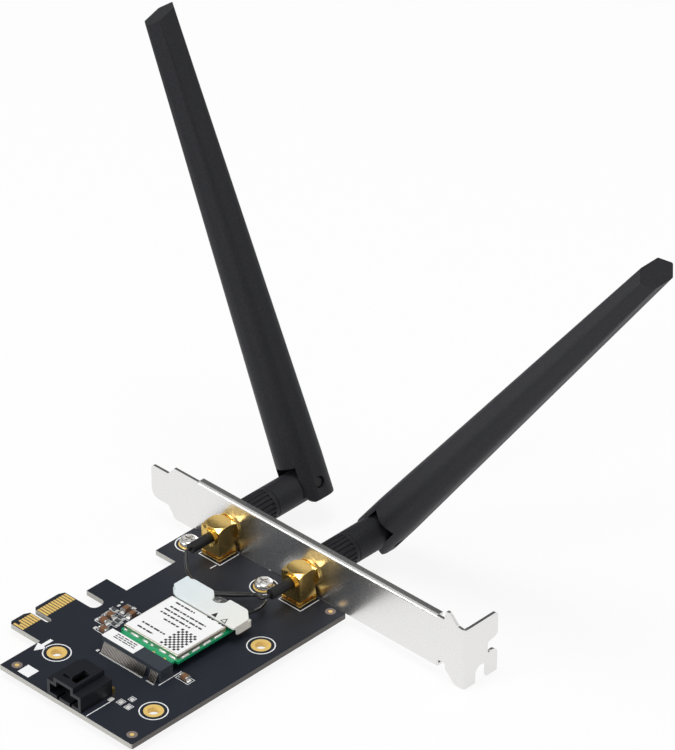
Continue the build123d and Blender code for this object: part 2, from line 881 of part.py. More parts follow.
with BuildPart() as radio_label:
    with BuildSketch(Plane.XY.offset(shield_top_z)):
        with Locations(((shield_start_x + shield_end_x) / 2, module_middle_y)):
            RectangleRounded(
                shield_end_x - shield_start_x - 2 * label_margin,
                module_width - 2 * shield_margin - 2 * label_margin,
                label_corner_radius,
            )
    extrude(amount=label_thickness)
save(radio_label.part, "radio_label")

# Socket with a slot for the module's tongue, its row of contacts and a paper label
with BuildPart() as radio_socket:
    with BuildSketch(Plane.XZ.offset(-socket_low_y)):
        with BuildLine():
            Polyline(
                (socket_front_x, 0),
                (socket_rear_x, 0),
                (socket_rear_x, socket_height),
                (socket_front_x, socket_height),
                close=True,
            )
        make_face()
    extrude(amount=-socket_width)
    with Locations((socket_front_x, module_middle_y, module_underside_z - socket_fit)):
        Box(
            socket_slot_end_x - socket_front_x,
            module_tongue_width + 2 * socket_fit,
            module_thickness + 2 * socket_fit,
            align=(Align.MIN, Align.CENTER, Align.MIN),
            mode=Mode.SUBTRACT,
        )
save(radio_socket.part, "radio_socket")

pin_field = socket_width - 2 * pin_field_margin
pin_places = [
    module_middle_y - pin_field / 2 + pin_pitch * n for n in range(int(pin_field / pin_pitch) + 1)
]
with BuildPart() as radio_socket_contacts:
    for place in pin_places:
        if abs(place - module_middle_y - pin_gap_offset) > pin_gap_half:
            with BuildSketch(Plane.XZ.offset(-place)):
                with BuildLine():
                    Polyline(
                        (socket_rear_x, pin_rise - 2 * pin_thickness),
                        (socket_rear_x + pin_reach, 0),
                        (socket_rear_x + pin_reach + pin_foot, 0),
                        (socket_rear_x + pin_reach + pin_foot, pin_thickness),
                        (socket_rear_x + pin_reach + pin_thickness, pin_thickness),
                        (socket_rear_x, pin_rise),
                        close=True,
                    )
                make_face()
            extrude(amount=pin_width / 2, both=True)
save(radio_socket_contacts.part, "radio_socket_contacts")

with BuildPart() as socket_label:
    with BuildSketch(Plane.XY.offset(socket_height)):
        with Locations((socket_label_front_x, socket_low_y - socket_label_overhang)):
            Rectangle(
                socket_label_rear_x - socket_label_front_x, socket_label_length, align=Align.MIN
            )
    extrude(amount=label_thickness)
save(socket_label.part, "socket_label")

# Screw and standoff at the module's free end, and the soft cover over its cable plugs
with BuildPart() as module_standoff:
    with BuildSketch():
        with Locations((module_end_x, module_middle_y)):
            Circle(standoff_radius)
    extrude(amount=module_underside_z)
    with Locations((module_end_x, module_middle_y, module_underside_z)):
        Hole(module_screw_radius, depth=module_underside_z)
save(module_standoff.part, "module_standoff")

with BuildPart() as module_screw:
    with BuildSketch(Plane.XY.offset(copper_height)):
        with Locations((module_end_x, module_middle_y)):
            Circle(module_screw_radius)
    extrude(amount=module_top_z - copper_height)
    with BuildSketch(Plane.XY.offset(module_top_z)):
        with Locations((module_end_x, module_middle_y)):
            Circle(module_head_radius)
    extrude(amount=module_head_height)
    chamfer(module_screw.edges().group_by(Axis.Z)[-1], length=module_head_height / 4)
    with BuildSketch(Plane.XY.offset(module_top_z + module_head_height)):
        with Locations((module_end_x, module_middle_y)):
            Rectangle(recess_length, recess_width)
            Rectangle(recess_width, recess_length)
    extrude(amount=-module_head_height / 2, mode=Mode.SUBTRACT)
save(module_screw.part, "module_screw")

with BuildPart() as plug_cover:
    with BuildSketch(Plane.XY.offset(coax_plug_top_z)) as cover_outline:
        with BuildLine():
            Polyline(
                (cover_rear_x, cover_low_y + 2 * cover_tab_width),
                (cover_rear_x - cover_tab_width / 2, cover_low_y + cover_tab_width),
                (cover_tab_rear_x, cover_low_y + cover_tab_width),
                (cover_tab_rear_x, cover_low_y),
                (cover_front_x, cover_low_y),
                (cover_front_x, cover_low_lobe_y),
                (module_end_x, cover_low_lobe_y),
                (module_end_x, cover_high_lobe_y),
                (cover_front_x, cover_high_lobe_y),
                (cover_front_x, cover_high_y - cover_corner_cut),
                (cover_front_x + cover_corner_cut, cover_high_y),
                (cover_rear_x, cover_high_y),
                close=True,
            )
        make_face()
        fillet(cover_outline.vertices(), radius=cover_corner_radius)
        with Locations((module_end_x, module_middle_y)):
            Circle(module_head_radius + cover_screw_gap, mode=Mode.SUBTRACT)
    extrude(amount=cover_thickness)
    fillet(plug_cover.edges().group_by(Axis.Z)[-1], radius=cover_thickness / 3)
    with BuildSketch(Plane.XY.offset(coax_plug_top_z)):
        for edge_y, side in ((cover_low_y, Align.MIN), (cover_high_y, Align.MAX)):
            with Locations((cover_tab_rear_x - cover_corner_radius, edge_y)):
                Rectangle(
                    cover_tab_rear_x - cover_corner_radius - cover_skirt_front_x,
                    cover_wall,
                    align=(Align.MAX, side),
                )
    extrude(amount=-cover_skirt)
save(plug_cover.part, "plug_cover")

# Shrouded connector: a stepped shell with a latch window, open towards the card's rear edge
with BuildPart() as usb_header:
    with BuildSketch(Plane.YZ.offset(header_rear_x)):
        with Locations((header_low_y, 0)):
            Rectangle(header_high_y - header_low_y, header_shoulder_z, align=Align.MIN)
        with Locations((header_low_y + header_low_step, 0)):
            Rectangle(
                header_high_y - header_low_y - header_low_step - header_high_step,
                header_top_z,
                align=Align.MIN,
            )
    extrude(amount=header_mouth_x - header_rear_x)
    with BuildSketch(Plane.YZ.offset(header_mouth_x)):
        with Locations((header_low_y + header_wall, header_wall)):
            Rectangle(
                header_high_y - header_low_y - 2 * header_wall,
                header_shoulder_z - 2 * header_wall,
                align=Align.MIN,
            )
        with Locations((header_low_y + header_low_step + header_wall, header_wall)):
            Rectangle(
                header_high_y - header_low_y - header_low_step - header_high_step - 2 * header_wall,
                header_top_z - 2 * header_wall,
                align=Align.MIN,
            )
    extrude(amount=header_rear_x + header_back_wall - header_mouth_x, mode=Mode.SUBTRACT)
    for row in (header_slot_low_y, header_slot_high_y):
        with Locations((header_mouth_x, row, 0)):
            Box(
                header_slot_depth,
                header_slot_width,
                header_wall,
                align=(Align.MAX, Align.CENTER, Align.MIN),
                mode=Mode.SUBTRACT,
            )
    with BuildSketch(Plane.XY.offset(header_top_z)):
        with Locations((window_rear_x, window_low_y)):
            Rectangle(
                window_front_x - window_rear_x, window_high_y - window_low_y, align=Align.MIN
            )
            Rectangle(
                window_front_x - window_rear_x - latch_gap,
                (window_high_y - window_low_y) / 2,
                align=Align.MIN,
                mode=Mode.SUBTRACT,
            )
    extrude(amount=-header_wall, mode=Mode.SUBTRACT)
    with Locations(*[(header_rear_x, row, header_pin_z) for row in header_pin_rows]):
        Box(
            2 * header_back_wall + header_pin_width,
            header_pin_width,
            header_pin_width,
            mode=Mode.SUBTRACT,
        )
save(usb_header.part, "usb_header")

with BuildPart() as usb_header_pins:
    for row in header_pin_rows:
        with BuildSketch(Plane.XZ.offset(-row)):
            with BuildLine():
                Polyline(
                    (header_pin_tip_x, header_pin_z - header_pin_width / 2),
                    (header_pin_tip_x, header_pin_z + header_pin_width / 2),
                    (header_pin_tail_x - header_pin_width / 2, header_pin_z + header_pin_width / 2),
                    (header_pin_tail_x - header_pin_width / 2, -header_pin_drop),
                    (header_pin_tail_x + header_pin_width / 2, -header_pin_drop),
                    (header_pin_tail_x + header_pin_width / 2, header_pin_z - header_pin_width / 2),
                    close=True,
                )
            make_face()
        extrude(amount=header_pin_width / 2, both=True)
    for edge_y, side in ((header_low_y, Align.MIN), (header_high_y, Align.MAX)):
        with Locations((header_rear_x, edge_y, 0)):
            Box(
                header_tab_length,
                header_tab_width,
                header_tab_height,
                align=(Align.MAX, side, Align.MIN),
            )
save(usb_header_pins.part, "usb_header_pins")

# Capacitors and chip resistors: a ceramic body between two metal ends
capacitor_planes = [
    Plane((x, y, 0), x_dir=(0, 1, 0), z_dir=(0, 0, 1)) for x, y in (*crosswise_capacitors, socket_capacitor)
]
capacitor_planes += [Plane((x, y, 0)) for x, y in lengthwise_capacitors]
with BuildPart() as capacitor_bodies:
    for plane in capacitor_planes:
        with BuildSketch(plane):
            Rectangle(capacitor_length - 2 * terminal_length, capacitor_width)
        extrude(amount=capacitor_height)
save(capacitor_bodies.part, "capacitor_bodies")

with BuildPart() as capacitor_terminals:
    for plane in capacitor_planes:
        with BuildSketch(plane):
            with GridLocations(capacitor_length - terminal_length, 0, 2, 1):
                Rectangle(terminal_length, capacitor_width)
        extrude(amount=capacitor_height)
save(capacitor_terminals.part, "capacitor_terminals")

with BuildPart() as chip_resistors:
    with Locations(*[(x, y, 0) for x, y in chip_places]):
        Box(chip_width, chip_length, chip_height, align=(Align.CENTER, Align.CENTER, Align.MIN))
save(chip_resistors.part, "chip_resistors")

# Antennas: a knurled nut, a metal ferrule that it pulls up, a swivelling collar and a tilting paddle
for number, row, swivel, tilt in (
    (1, jack_low_y, low_swivel_angle, low_tilt_angle),
    (2, jack_high_y, high_swivel_angle, high_tilt_angle),
):
    outward = Vector(-1, 0, 0)
    radial = Vector(0, sin(radians(swivel)), cos(radians(swivel)))
    hinge = Vector(0, cos(radians(swivel)), -sin(radians(swivel)))
    along = outward * cos(radians(tilt)) + radial * sin(radians(tilt))
    across = radial * cos(radians(tilt)) - outward * sin(radians(tilt))
    pivot = Vector(-pivot_reach, row, jack_z)
    collar_plane = Plane(origin=pivot, x_dir=outward, z_dir=hinge)
    collar_top_plane = Plane(origin=pivot, x_dir=outward, z_dir=radial)
    paddle_plane = Plane(origin=pivot, x_dir=across, z_dir=along)
    paddle_side_plane = Plane(origin=pivot, x_dir=across, z_dir=-hinge)
    hinge_plane = Plane(origin=pivot, x_dir=across, z_dir=hinge)

    with BuildPart() as antenna_nut:
        with BuildSketch(jack_plane(row, nut_start)):
            Circle(nut_radius)
            with PolarLocations(nut_radius, nut_groove_count):
                Circle(nut_groove_radius, mode=Mode.SUBTRACT)
        extrude(amount=nut_end - nut_rim - nut_start)
        with BuildSketch(jack_plane(row, nut_end - nut_rim)):
            Circle(nut_radius)
        extrude(amount=nut_rim)
        with BuildSketch(jack_plane(row, nut_start)):
            Circle(insert_radius)
        extrude(amount=nut_end - nut_start, mode=Mode.SUBTRACT)
    save(antenna_nut.part, f"antenna_nut_{number}")

    with BuildPart() as nut_insert:
        with BuildSketch(profile_plane(row)):
            Polygon(
                (nut_start + insert_recess, insert_bore_radius),
                (nut_start + insert_recess, insert_radius),
                (nut_end, insert_radius),
                (nut_end, shank_radius + shank_clearance),
                (insert_shoulder, shank_radius + shank_clearance),
                (insert_shoulder, insert_bore_radius),
                align=None,
            )
        revolve(axis=jack_axis(row))
    save(nut_insert.part, f"nut_insert_{number}")

    with BuildPart() as ferrule:
        with BuildSketch(profile_plane(row)):
            Polygon(
                (ferrule_seat - spigot_length, shank_bore_radius),
                (ferrule_seat - spigot_length, spigot_radius),
                (ferrule_seat, spigot_radius),
                (ferrule_seat, ferrule_flange_radius),
                (ferrule_flange_end, ferrule_flange_radius),
                (ferrule_flange_end, shank_radius),
                (shank_end, shank_radius),
                (shank_end, shank_bore_radius),
                align=None,
            )
        revolve(axis=jack_axis(row))
    save(ferrule.part, f"antenna_ferrule_{number}")

    with BuildPart() as collar:
        with BuildSketch(jack_plane(row, collar_start)):
            Circle(collar_radius)
        extrude(amount=pivot_reach + collar_radius - collar_start)
        with BuildSketch(collar_plane):
            Circle(collar_radius)
            Rectangle(
                pivot_reach - collar_start, 2 * collar_radius, align=(Align.MAX, Align.CENTER)
            )
        extrude(amount=collar_radius, both=True, mode=Mode.INTERSECT)
        with BuildSketch(collar_top_plane):
            with Locations((collar_end - pivot_reach, 0)):
                for side, edge in ((1, Align.MIN), (-1, Align.MAX)):
                    with Locations((0, side * tongue_half_width)):
                        Rectangle(
                            pivot_reach + collar_radius - collar_end,
                            collar_radius,
                            align=(Align.MIN, edge),
                        )
        extrude(amount=collar_radius, both=True, mode=Mode.SUBTRACT)
        chamfer(collar.edges().group_by(Axis.X)[-1], length=collar_chamfer)
        with BuildSketch(jack_plane(row, collar_start)):
            Circle(shank_radius + shank_clearance)
        extrude(amount=shank_depth, mode=Mode.SUBTRACT)
        with BuildSketch(hinge_plane):
            Circle(pivot_pin_radius + pivot_pin_clearance)
        extrude(amount=collar_radius, both=True, mode=Mode.SUBTRACT)
    save(collar.part, f"antenna_collar_{number}")

    with BuildPart() as paddle:
        with BuildSketch(paddle_plane.offset(-ear_radius)) as fork_section:
            Polygon(
                *hexagon(paddle_base_half_length, paddle_base_half_top, paddle_base_half_width),
                align=None,
            )
            fillet(fork_section.vertices(), radius=paddle_base_fillet)
        extrude(amount=ear_radius + fork_height)
        with BuildSketch(paddle_side_plane):
            Circle(ear_radius)
            Polygon(
                (ear_radius, 0),
                (ear_radius, ear_straight),
                (paddle_base_half_length, fork_height),
                (-paddle_base_half_length, fork_height),
                (-paddle_base_half_length, -ear_end),
                (0, -ear_end),
                align=None,
            )
            with Locations((0, -ear_end)):
                Rectangle(
                    2 * paddle_base_half_length,
                    ear_radius,
                    align=(Align.CENTER, Align.MAX),
                    mode=Mode.SUBTRACT,
                )
        extrude(amount=paddle_base_half_width, both=True, mode=Mode.INTERSECT)
        with BuildSketch(paddle_plane.offset(fork_height)) as base_section:
            Polygon(
                *hexagon(paddle_base_half_length, paddle_base_half_top, paddle_base_half_width),
                align=None,
            )
            fillet(base_section.vertices(), radius=paddle_base_fillet)
        with BuildSketch(paddle_plane.offset(paddle_length + paddle_tip_half_length)) as tip_section:
            Polygon(
                *hexagon(paddle_tip_half_length, paddle_tip_half_top, paddle_tip_half_width),
                align=None,
            )
            fillet(tip_section.vertices(), radius=paddle_tip_fillet)
        loft()
        with BuildSketch(paddle_side_plane):
            end_drop = paddle_base_half_length * tan(radians(paddle_end_angle))
            Polygon(
                (-paddle_base_half_length, paddle_length + end_drop),
                (paddle_base_half_length, paddle_length - end_drop),
                (paddle_base_half_length, paddle_length + 2 * paddle_base_half_length),
                (-paddle_base_half_length, paddle_length + 2 * paddle_base_half_length),
                align=None,
            )
        extrude(amount=paddle_base_half_width, both=True, mode=Mode.SUBTRACT)
        with BuildSketch(paddle_side_plane):
            with Locations((0, fork_depth)):
                Rectangle(
                    2 * paddle_base_half_length,
                    fork_depth + 2 * ear_radius,
                    align=(Align.CENTER, Align.MAX),
                )
        extrude(amount=tongue_half_width + fork_clearance, both=True, mode=Mode.SUBTRACT)
        with BuildSketch(hinge_plane):
            Circle(pivot_pin_radius)
        extrude(amount=paddle_base_half_width, both=True, mode=Mode.SUBTRACT)
        with BuildSketch(hinge_plane.offset(paddle_base_half_width)):
            Circle(pivot_recess_radius)
        extrude(amount=-pivot_recess_depth, mode=Mode.SUBTRACT)
    save(paddle.part, f"antenna_paddle_{number}")

    with BuildPart() as pivot_pin:
        with BuildSketch(hinge_plane.offset(paddle_base_half_width - pivot_recess_depth)):
            Circle(pivot_pin_radius)
        extrude(amount=-2 * (paddle_base_half_width - pivot_recess_depth))
        with BuildSketch(hinge_plane.offset(paddle_base_half_width - pivot_recess_depth)):
            Circle(pivot_head_radius)
        extrude(amount=pivot_head_height)
    save(pivot_pin.part, f"pivot_pin_{number}")
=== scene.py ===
import json
import math

import bmesh
import bpy
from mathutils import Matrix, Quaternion, Vector


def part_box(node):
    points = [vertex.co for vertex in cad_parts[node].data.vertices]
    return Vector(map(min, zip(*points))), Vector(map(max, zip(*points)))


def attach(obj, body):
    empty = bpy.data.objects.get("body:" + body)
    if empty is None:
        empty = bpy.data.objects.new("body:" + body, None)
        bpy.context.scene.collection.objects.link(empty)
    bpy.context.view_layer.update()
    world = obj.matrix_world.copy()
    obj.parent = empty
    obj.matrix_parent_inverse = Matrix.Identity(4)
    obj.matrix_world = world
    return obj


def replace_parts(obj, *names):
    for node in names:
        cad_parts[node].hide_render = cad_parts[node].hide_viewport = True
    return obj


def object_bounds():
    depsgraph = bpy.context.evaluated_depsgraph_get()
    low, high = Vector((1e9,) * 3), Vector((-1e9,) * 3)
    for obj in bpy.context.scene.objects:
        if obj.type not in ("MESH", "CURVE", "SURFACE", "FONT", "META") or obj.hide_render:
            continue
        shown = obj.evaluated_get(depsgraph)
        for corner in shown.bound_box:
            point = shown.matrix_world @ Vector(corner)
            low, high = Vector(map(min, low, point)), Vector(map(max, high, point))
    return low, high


# Named lengths are millimetres in the card's own frame, and MM turns them into metres.
MM = 0.001

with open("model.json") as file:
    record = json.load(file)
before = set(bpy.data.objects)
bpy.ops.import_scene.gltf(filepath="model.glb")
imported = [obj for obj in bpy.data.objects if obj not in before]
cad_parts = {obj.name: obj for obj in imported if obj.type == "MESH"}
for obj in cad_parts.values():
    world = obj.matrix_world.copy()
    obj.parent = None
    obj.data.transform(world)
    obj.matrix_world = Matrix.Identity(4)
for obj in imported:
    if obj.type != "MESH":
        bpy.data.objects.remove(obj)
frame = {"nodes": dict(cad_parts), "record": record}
nodes = frame["nodes"]
cad_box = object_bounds()

# Camera, fitted to the photograph, with its clipping distances in metres
CAMERA_PLACE = (729.417, 817.024, 793.313)
CAMERA_DIRECTION = (-0.603309, -0.578959, -0.548475)
CAMERA_ROLL = math.radians(0.0836)
CAMERA_LENS = 235.7
CAMERA_SENSOR = 36.0
CAMERA_CLIP = (0.05, 50.0)

# Finishes, as linear colours
MASK_COLOUR = (0.015, 0.019, 0.029)
MASK_DARK = (0.012, 0.015, 0.023)
LAMINATE_COLOUR = (0.56, 0.55, 0.51)
# Painted shade: colour of the cut laminate on edges that face away from +X
LAMINATE_PAINTED_SHADE = (0.12, 0.11, 0.10)
GOLD_COLOUR = (0.86, 0.60, 0.20)
PAD_GOLD_COLOUR = (0.95, 0.66, 0.21)
NICKEL_COLOUR = (0.80, 0.795, 0.785)
STEEL_COLOUR = (0.80, 0.79, 0.77)
BLACKENED_COLOUR = (0.045, 0.044, 0.046)
TIN_COLOUR = (0.74, 0.73, 0.70)
SHIELD_COLOUR = (0.66, 0.62, 0.53)
GREEN_COLOUR = (0.004, 0.30, 0.12)
LABEL_COLOUR = (0.90, 0.90, 0.90)
SOCKET_COLOUR = (0.030, 0.036, 0.047)
CONTACT_COLOUR = (0.20, 0.185, 0.17)
COVER_COOL = (0.80, 0.88, 0.92)
COVER_WARM = (0.93, 0.93, 0.87)
HEADER_COLOUR = (0.006, 0.007, 0.010)
CERAMIC_COLOUR = (0.24, 0.12, 0.06)
CERAMIC_DARK = (0.15, 0.07, 0.035)
CHIP_COLOUR = (0.06, 0.065, 0.07)
ANTENNA_COLOUR = (0.011, 0.0115, 0.0145)
ANTENNA_GRAIN = (0.026, 0.026, 0.031)
CABLE_COLOUR = (0.006, 0.006, 0.007)
SLEEVE_COLOUR = (0.008, 0.008, 0.009)
INSULATOR_COLOUR = (0.80, 0.80, 0.77)
INK_COLOUR = (0.88, 0.89, 0.90)
PRINT_COLOUR = (0.02, 0.02, 0.022)
SOLDER_COLOUR = (0.86, 0.86, 0.84)
BARE_COLOUR = (0.20, 0.16, 0.14)

# Shares by which the finishes vary, of a colour, of a grain's size or of full strength
MASK_SHINE = 0.3
FIBRE_DIMMING = 0.5
PALE_SHARE = 1.35
CLOUD_SHARE = 12
PAPER_SHADE = 0.96

# Film of the cover: shares of scattered and of clear light, and how far the scattered light spreads
FILM_SCATTER = 0.4
FILM_CLEARNESS = 0.12
FILM_SCATTER_RADIUS = 2.0

# Faces of the board whose normal rises less than this show the cut laminate
CUT_EDGE_SLOPE = 0.5

# Floor: its radius in metres, and the share of plain white in what the camera and reflections see of it
FLOOR_COLOUR = (0.86, 0.86, 0.86)
FLOOR_ROUGHNESS = 0.7
FLOOR_RADIUS = 6.0
FLOOR_WHITENESS = 0.88

# Studio: its brightness at two heights of the view direction
SKY_HEIGHTS = (-0.2, 0.9)
SKY_LEVELS = (0.3, 0.65)

# Part of the studio that level faces mirror, and how dark it is kept
DARK_DIRECTION = (-0.603, -0.579, 0.548)
DARK_SPREAD = (0.78, 0.96)
DARK_LEVEL = 0.2

# Lamps, as name, place and size in metres, and power in watts
LAMPS = (
    ("key", (1.3, -0.5, 0.45), (0.5, 0.5), 11.0),
    ("overhead", (0.0, 0.0, 1.3), (0.45, 0.45), 6.5),
    ("rim", (-0.9, 0.5, 0.7), (0.5, 0.8), 1.5),
)

# Marks printed on the board
INK_HEIGHT = 0.015
PRINT_HEIGHT = INK_HEIGHT / 2
LINE_WIDTH = 0.28
FINE_LINE = 0.16
PLATED_HOLES = ((8.6, 20.0), (8.6, 57.5), (-32.2, 57.5))
BRACKET_SCREWS = ((-52.3, 9.4), (-52.3, 38.75))
RING_RADII = (3.72, 4.05)
ARROW = ((5.5, 15.3), (9.0, 15.3), (9.0, 16.6), (12.3, 14.75), (9.0, 12.9), (9.0, 14.2), (5.5, 14.2))
BLANK_FIELD = ((19.7, 20.5), (4.05, 4.15))
JACK_ROWS = (18.8, 50.0)
JACK_FRAME_OFFSET = 0.05
JACK_FRAME_HALF = 4.15
JACK_FRAME_ENDS = (-58.4, -50.9)
JACK_DASH = ((-48.0, 22.05), (-50.3, 22.2))
HEADER_LINE = ((22.7, 46.25), (13.9, 46.3))
SOCKET_LINE = ((-0.25, 50.4), (-8.9, 50.4))

# Places of the small components, and how far their printed frames stand off
CROSSWISE_CAPACITORS = ((-10.1, 19.0), (-13.0, 18.6), (-7.2, 22.0), (-7.2, 53.4))
LENGTHWISE_CAPACITORS = ((-17.9, 19.6), (-17.4, 22.5))
CAPACITOR_SIZE = (1.6, 2.9)
CHIPS = ((-15.9, 17.0), (-14.6, 20.9), (-12.9, 21.6), (-11.2, 21.9))
CHIP_SIZE = (0.9, 1.7)
FRAME_GAP = 0.42
CHIP_FRAME_SPREAD = 0.3
PAD_FRAME_SPREAD = 0.35

# Bare pads, with or without a printed frame, as centre and size
FRAMED_PADS = (((11.9, 48.4), (1.5, 1.3)), ((12.0, 51.5), (1.5, 1.3)), ((8.95, 49.7), (1.2, 1.1)))
PLAIN_PADS = (
    ((12.95, 45.65), (1.9, 1.45)),
    ((0.15, 27.2), (1.0, 0.9)),
    ((-9.7, 16.6), (1.3, 0.7)),
    ((-6.6, 19.1), (1.3, 0.7)),
    ((-18.2, 16.4), (1.2, 0.7)),
    ((-19.9, 15.9), (0.7, 0.7)),
    ((-16.2, 17.7), (0.6, 0.9)),
    ((-20.3, 20.3), (0.7, 1.2)),
)
PAD_HEIGHT = 0.07

# Rounding of a pad's outline and of the mound of solder on it
PAD_POWER = 0.45
MOUND_ARC = 0.85
MOUND_CORE = 0.55

# Solder at the ends of the small components
CAPACITOR_PAD_OFFSET = 0.1
CAPACITOR_PAD_LENGTH = 0.9
CAPACITOR_PAD_RISE = 4 * PAD_HEIGHT
CHIP_PAD_MARGIN = 0.1
CHIP_PAD_LENGTH = 0.7
CHIP_PAD_RISE = 5 * PAD_HEIGHT

# Lands under the bracket screws, solder at the socket's contacts, and fiducials
SCREW_LAND_RADII = (1.6, 3.0)
SCREW_LAND_HEIGHT = 0.05
FOOT_PITCH = 0.5
FOOT_HALF_WIDTH = 0.12
FOOT_X = 0.45
FOOT_SIZE = (0.75, 0.32)
FOOT_GAP = (44.65, 46.45)
FIDUCIALS = ((19.9, 16.3), (19.8, 60.8), (-56.6, 60.2))
FIDUCIAL_DOT = 0.6
FIDUCIAL_FIELD = 1.5

# Solder along the foot of the radio's shield, as runs along its two visible sides
SHIELD_SIDE_RUNS = ((-12.9, -9.9), (-17.0, -13.9), (-21.2, -18.1), (-25.8, -22.3))
SHIELD_END_RUNS = ((28.5, 29.9), (31.2, 34.4), (35.9, 38.0), (38.8, 40.0), (42.1, 44.9), (45.9, 48.6))
SOLDER_RISE = 0.55
SOLDER_SPREAD = 0.42
SOLDER_TAPER = 0.3
SOLDER_END_SHARE = 0.3
SOLDER_BULGE = 0.45
VIAS = ((-6.6, 41.8), (-6.6, 46.05))
VIA_RADII = (0.22, 0.55)
VIA_HEIGHT = PAD_HEIGHT / 2

# Cover over the plugs, where a rounded corner takes at most CORNER_SHARE of a side
COVER_OUTLINE = (
    (-27.4, 29.5),
    (-28.2, 27.7),
    (-29.8, 27.2),
    (-30.5, 25.4),
    (-36.2, 25.4),
    (-35.6, 27.1),
    (-36.2, 28.0),
    (-36.2, 35.4),
    (-34.1, 37.8),
    (-32.6, 38.2),
    (-32.6, 40.4),
    (-34.2, 41.9),
    (-36.2, 41.7),
    (-36.2, 48.6),
    (-33.2, 51.9),
    (-27.4, 51.9),
)
COVER_CORNER = 0.7
CORNER_SHARE = 0.45
COVER_THICKNESS = 0.8
COVER_WALLS = (((-32.2, 25.9), (4.2, 0.9)), ((-31.6, 51.4), (5.6, 0.9)))
COVER_EDGE = 0.22

# Jack flange: it is drawn in to the photograph's radius where the solid's rim lies beyond a limit
JACK_AXIS_Z = 7.35
FLANGE_FRONT_X = -58.39
FLANGE_LOWEST_Z = 1.7
FLANGE_LIMIT = 5.0
FLANGE_TRIM = 1.4

# Rows of print on the two labels, as the row's place and where it starts and ends
LABEL_ROWS = (
    (-26.85, 42.3, 45.1),
    (-26.85, 46.6, 48.7),
    (-25.5, 31.5, 38.8),
    (-23.2, 31.7, 45.3),
    (-21.5, 31.2, 45.6),
    (-19.8, 31.4, 42.7),
    (-17.9, 34.5, 40.2),
    (-13.0, 31.2, 39.9),
    (-10.9, 31.5, 37.4),
)
LABEL_ROW_WIDTH = 0.6
SOCKET_ROWS = ((-5.1, 29.7, 37.3), (-4.3, 29.7, 37.6), (-3.5, 29.7, 37.7))
SOCKET_ROW_WIDTH = 0.38
WORD_LENGTHS = (1.3, 0.8, 1.7, 1.0, 2.1, 0.7)
WORD_GAP = 0.32
CHECKED_FIELD = ((-13.9, 44.55), (8.8, 6.3))
CHECKED_CELLS = (11, 8)
COVER_TRIANGLES = (
    ((-27.6, 42.9), (-27.5, 44.8), (-29.6, 43.7)),
    ((-27.5, 46.5), (-27.2, 48.7), (-29.5, 47.6)),
)
HOLLOW_SHARE = 0.6


# Material helpers

def shader_of(made):
    return made.node_tree.nodes["Principled BSDF"]


def set_inputs(node, **values):
    """Input values of a node, named by socket with spaces as underscores."""
    for name, value in values.items():
        node.inputs[name.replace("_", " ")].default_value = value


def new_material(name, colour, roughness=0.5, metallic=0.0):
    made = bpy.data.materials.new(name)
    made.use_nodes = True
    set_inputs(shader_of(made), Base_Color=(*colour, 1), Roughness=roughness, Metallic=metallic)
    return made


def add_node(made, kind, **values):
    node = made.node_tree.nodes.new(kind)
    set_inputs(node, **values)
    return node


def link(made, output, target):
    made.node_tree.links.new(output, target)


def maths(made, operation, *values):
    """Result of an operation on numbers and on the outputs of other nodes."""
    node = add_node(made, "ShaderNodeMath")
    node.operation = operation
    for socket, value in zip(node.inputs, values):
        if isinstance(value, float):
            socket.default_value = value
        else:
            link(made, value, socket)
    return node.outputs["Value"]


def map_range(made, source, span, levels=(0.0, 1.0)):
    """The source, mapped from one span of values to another."""
    mapped = add_node(
        made, "ShaderNodeMapRange", From_Min=span[0], From_Max=span[1], To_Min=levels[0], To_Max=levels[1]
    )
    link(made, source, mapped.inputs["Value"])
    return mapped.outputs["Result"]


def noise(made, size, stretch=(1, 1, 1), detail=3.0):
    """Noise with features of about that size in millimetres, stretched along the card's axes."""
    place = add_node(made, "ShaderNodeTexCoord")
    spread = add_node(made, "ShaderNodeMapping", Scale=stretch)
    texture = add_node(made, "ShaderNodeTexNoise", Scale=1 / (size * MM), Detail=detail)
    link(made, place.outputs["Object"], spread.inputs["Vector"])
    link(made, spread.outputs["Vector"], texture.inputs["Vector"])
    return texture.outputs["Fac"]


def vary_roughness(made, source, roughness):
    varied = map_range(made, source, (0.0, 1.0), roughness)
    link(made, varied, shader_of(made).inputs["Roughness"])


def roughen(made, source, height):
    """Bump of that height in millimetres."""
    bump = add_node(made, "ShaderNodeBump", Distance=height * MM)
    link(made, source, bump.inputs["Height"])
    link(made, bump.outputs["Normal"], shader_of(made).inputs["Normal"])


def mix_colours(made, factor, first, second):
    """Colour output of a mix from the first colour to the second."""
    mix = made.node_tree.nodes.new("ShaderNodeMix")
    mix.data_type = "RGBA"
    first_socket, second_socket = [socket for socket in mix.inputs if socket.type == "RGBA"]
    link(made, factor, mix.inputs["Factor"])
    for socket, colour in ((first_socket, first), (second_socket, second)):
        if isinstance(colour, tuple):
            socket.default_value = (*colour, 1)
        else:
            link(made, colour, socket)
    return [socket for socket in mix.outputs if socket.type == "RGBA"][0]


def colour_by(made, factor, first, second):
    link(made, mix_colours(made, factor, first, second), shader_of(made).inputs["Base Color"])


# Materials

